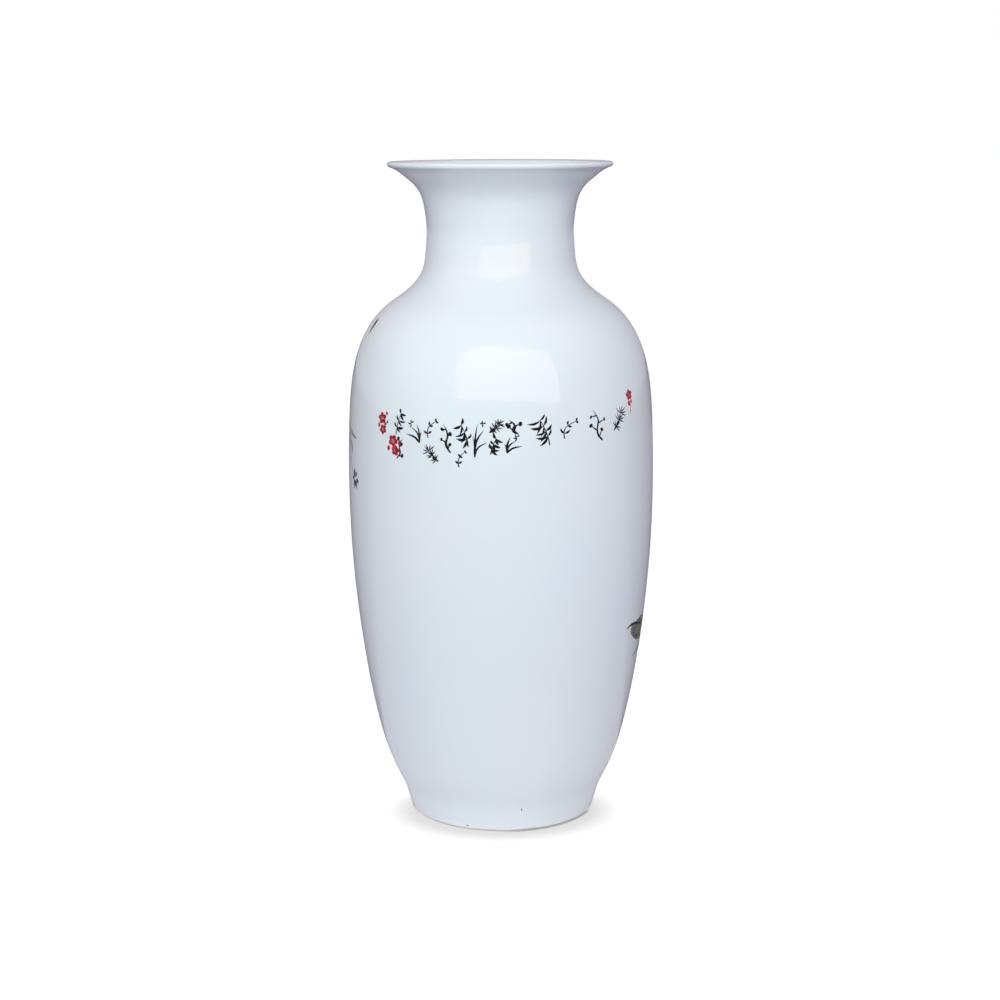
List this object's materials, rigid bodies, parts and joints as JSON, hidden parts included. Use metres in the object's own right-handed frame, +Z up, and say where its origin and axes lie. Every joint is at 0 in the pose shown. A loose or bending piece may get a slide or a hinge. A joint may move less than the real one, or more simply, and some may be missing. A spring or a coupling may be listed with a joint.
{
  "type": "porcelain vase",
  "caption": "Tall free-standing baluster vase of glazed white porcelain with a trumpet mouth and an unglazed foot ring, for display or for holding stems.",
  "frame": {"origin": "centre of the foot ring's contact face, which is the bottom of the vase", "axes": "+Z up along the axis of turning; -Y is the side with the row of small brushed sprigs; +X is to the right of that side"},
  "size_m": [0.2142, 0.2142, 0.46],
  "materials": {
    "biscuit": "bare fired porcelain, fine and matt, faintly toasted at the foot ring's edge",
    "slip": "fired slip of the same porcelain, matt",
    "outer_glaze": "clear glossy glaze over white porcelain, with a faint blue tinge",
    "inner_glaze": "clear glossy glaze, a little thinner and less even than outside",
    "base_glaze": "clear glossy glaze with a few pinholes",
    "ink_enamel": "fired ink-black overglaze enamel, semi-gloss, thin and slightly raised",
    "red_enamel": "fired iron-red overglaze enamel, semi-gloss",
    "pink_enamel": "fired rose overglaze enamel, glossy",
    "green_enamel": "fired grey-green overglaze enamel, glossy",
    "brown_enamel": "fired brown overglaze enamel wash, semi-gloss"
  },
  "bodies": {
    "root": {"foot_section": "biscuit", "lower_body": "biscuit", "upper_body": "biscuit", "neck_and_mouth": "biscuit", "foot_seam_slip": "slip", "belly_seam_slip": "slip", "shoulder_seam_slip": "slip", "outer_glaze": "outer_glaze", "inner_glaze": "inner_glaze", "base_glaze": "base_glaze"}
  },
  "joints": []
}
